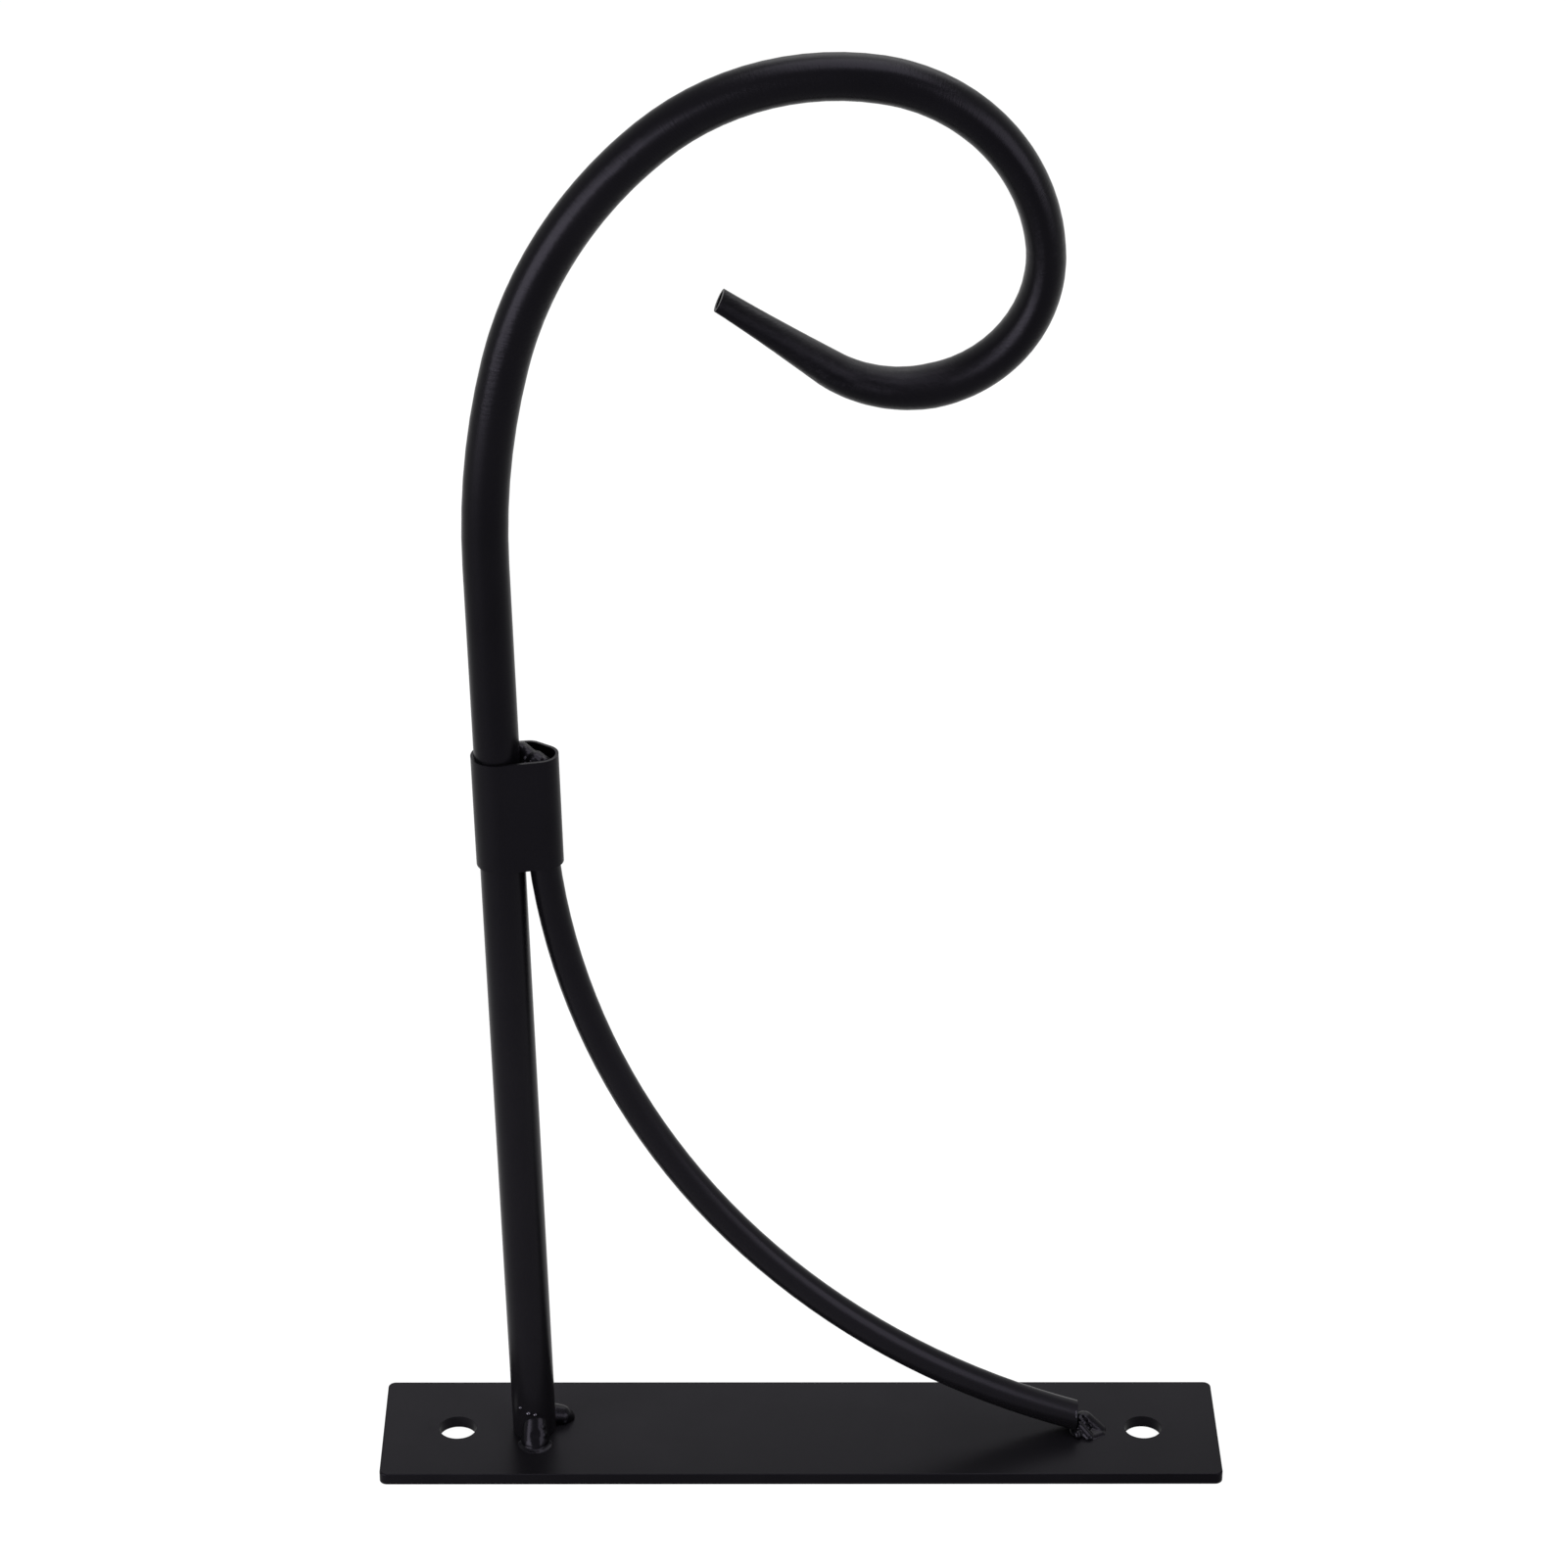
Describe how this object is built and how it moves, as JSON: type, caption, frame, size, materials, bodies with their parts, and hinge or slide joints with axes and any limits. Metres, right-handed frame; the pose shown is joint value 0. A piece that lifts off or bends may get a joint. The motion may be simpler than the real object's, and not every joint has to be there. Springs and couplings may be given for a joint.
{
  "type": "plant hanging bracket",
  "caption": "Wall bracket for a hanging plant: a curled hook tube on a screw-on plate, with a curved brace gripped to it by a sheet collar.",
  "frame": {"origin": "centre of the wall plate's back face", "axes": "+Z away from the wall, square to the plate; +X along the plate from the hook tube's end to the brace's foot; the hook and the brace lie in the XZ plane"},
  "size_m": [0.2, 0.038, 0.3497],
  "materials": {
    "plate_paint": "satin",
    "tube_paint": "satin",
    "collar_paint": "satin",
    "weld_paint": "gloss"
  },
  "bodies": {
    "root": {"wall_plate": "plate_paint", "hook_tube": "tube_paint", "brace_tube": "tube_paint", "collar_band": "collar_paint", "hook_front_weld": "weld_paint", "hook_side_weld": "weld_paint", "brace_foot_weld": "weld_paint", "brace_top_weld": "weld_paint"}
  },
  "joints": []
}
